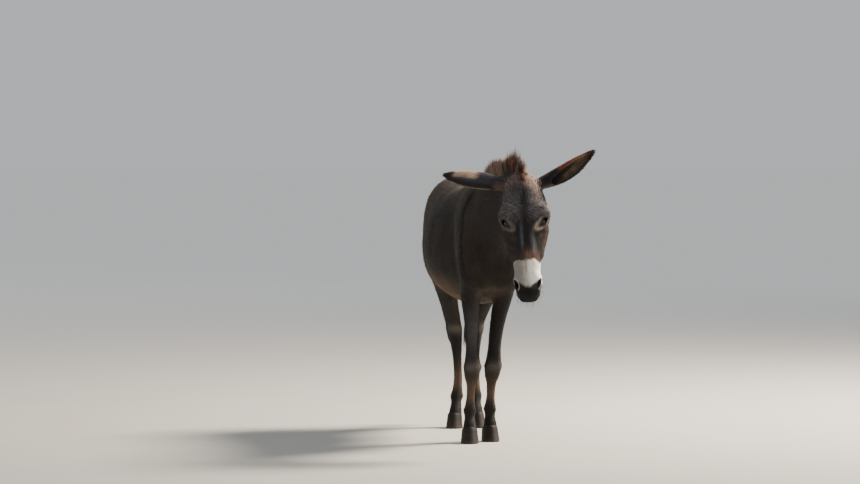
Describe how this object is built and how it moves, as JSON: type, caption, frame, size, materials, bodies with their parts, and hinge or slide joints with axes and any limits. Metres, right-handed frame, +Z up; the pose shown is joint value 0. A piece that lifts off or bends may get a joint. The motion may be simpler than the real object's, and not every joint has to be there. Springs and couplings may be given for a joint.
{
  "type": "donkey",
  "caption": "Life-size standing donkey with a dark grey-brown coat, pale muzzle, upright mane and long ears held out sideways.",
  "frame": {"origin": "on the floor, below the middle of the whole animal's box", "axes": "-Y the way the animal faces, +X its left side, +Z up"},
  "size_m": [0.6054, 1.6622, 1.2066],
  "materials": {
    "trunk": "short dark grey-brown coat",
    "neck": "short dark grey-brown coat",
    "head": "woolly grey-brown coat, pale muzzle",
    "mane": "coarse upright brown-black hair",
    "ear_left": "short coat, dark tip",
    "ear_right": "short coat, dark tip",
    "eye_left": "wet dark brown eye",
    "eye_right": "wet dark brown eye",
    "tail_dock": "short coat",
    "tail_tassel": "long coarse black-brown hair",
    "foreleg_left_upper": "short coat",
    "foreleg_left_lower": "short near-black coat",
    "hoof_fore_left": "dry dark horn",
    "foreleg_right_upper": "short coat",
    "foreleg_right_lower": "short near-black coat",
    "hoof_fore_right": "dry dark horn",
    "hindleg_left_upper": "short coat",
    "hindleg_left_lower": "short near-black coat",
    "hoof_hind_left": "dry dark horn",
    "hindleg_right_upper": "short coat",
    "hindleg_right_lower": "short near-black coat",
    "hoof_hind_right": "dry dark horn"
  },
  "bodies": {
    "root": {"trunk": "trunk", "neck": "neck", "head": "head", "mane": "mane", "ear_left": "ear_left", "ear_right": "ear_right", "eye_left": "eye_left", "eye_right": "eye_right", "tail_dock": "tail_dock", "tail_tassel": "tail_tassel", "foreleg_left_upper": "foreleg_left_upper", "foreleg_left_lower": "foreleg_left_lower", "hoof_fore_left": "hoof_fore_left", "foreleg_right_upper": "foreleg_right_upper", "foreleg_right_lower": "foreleg_right_lower", "hoof_fore_right": "hoof_fore_right", "hindleg_left_upper": "hindleg_left_upper", "hindleg_left_lower": "hindleg_left_lower", "hoof_hind_left": "hoof_hind_left", "hindleg_right_upper": "hindleg_right_upper", "hindleg_right_lower": "hindleg_right_lower", "hoof_hind_right": "hoof_hind_right"}
  },
  "joints": []
}
